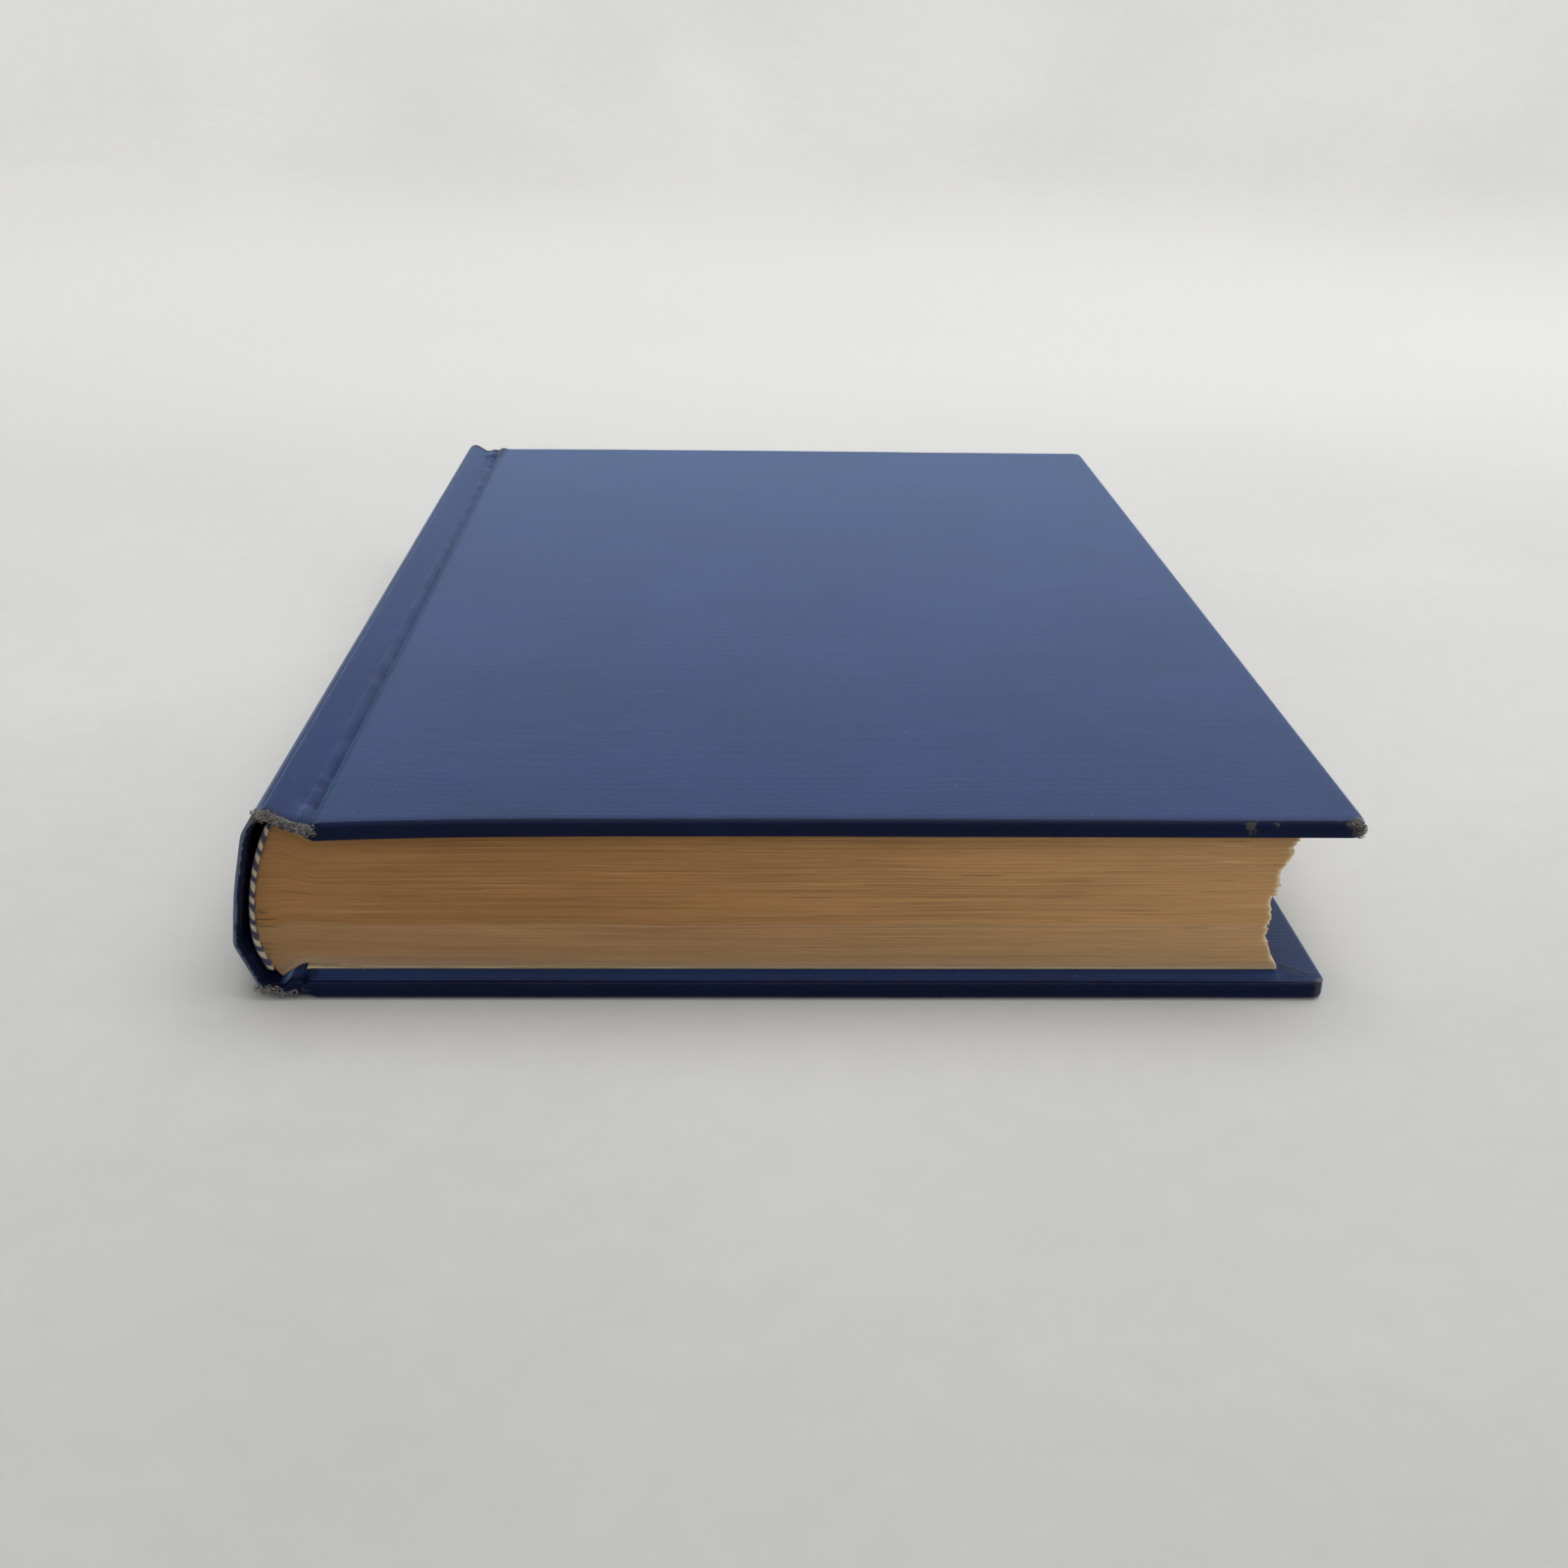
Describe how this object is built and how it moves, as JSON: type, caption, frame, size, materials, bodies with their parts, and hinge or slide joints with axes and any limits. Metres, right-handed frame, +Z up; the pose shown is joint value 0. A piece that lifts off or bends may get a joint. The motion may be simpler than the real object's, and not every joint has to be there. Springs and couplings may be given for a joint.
{
  "type": "hardcover book",
  "caption": "Thick cloth-bound hardcover book lying flat, with hollow rounded spine, striped endbands, deckled fore edge and two covers that open on their joints.",
  "frame": {"origin": "on the table, under the middle of the closed book's overall box", "axes": "+X from the spine to the fore edge, +Y from the tail to the head, +Z up from the back cover to the front cover"},
  "size_m": [0.1504, 0.216, 0.0275],
  "materials": {
    "bookcloth": "satin navy bookcloth, rubbed at the joints and corners",
    "board": "grey binder's board",
    "card": "thin card",
    "pages": "age-toned matt paper edges",
    "endpaper": "age-toned matt paper",
    "lining_paper": "brown kraft paper",
    "gauze": "open-weave gauze set in glue",
    "endband": "cream and dark blue thread stripes"
  },
  "bodies": {
    "block": {"text_block": "pages", "front_flyleaf": "endpaper", "back_flyleaf": "endpaper", "spine_mull": "gauze", "spine_lining": "lining_paper", "spine_inlay": "card", "spine_cloth": "bookcloth", "headband": "endband", "tailband": "endband"},
    "front_cover": {"front_board": "board", "front_cloth": "bookcloth", "front_pastedown": "endpaper", "front_mull_flap": "gauze"},
    "back_cover": {"back_board": "board", "back_cloth": "bookcloth", "back_pastedown": "endpaper", "back_mull_flap": "gauze"}
  },
  "joints": [
    {"name": "front_hinge", "type": "hinge", "parent": "block", "child": "front_cover", "pos_m": [-0.06533, 0, 0.0273], "axis": [0, -1, 0], "range_deg": [0, 180]},
    {"name": "back_hinge", "type": "hinge", "parent": "block", "child": "back_cover", "pos_m": [-0.06763, 0, 0], "axis": [0, 1, 0], "range_deg": [0, 180]}
  ]
}
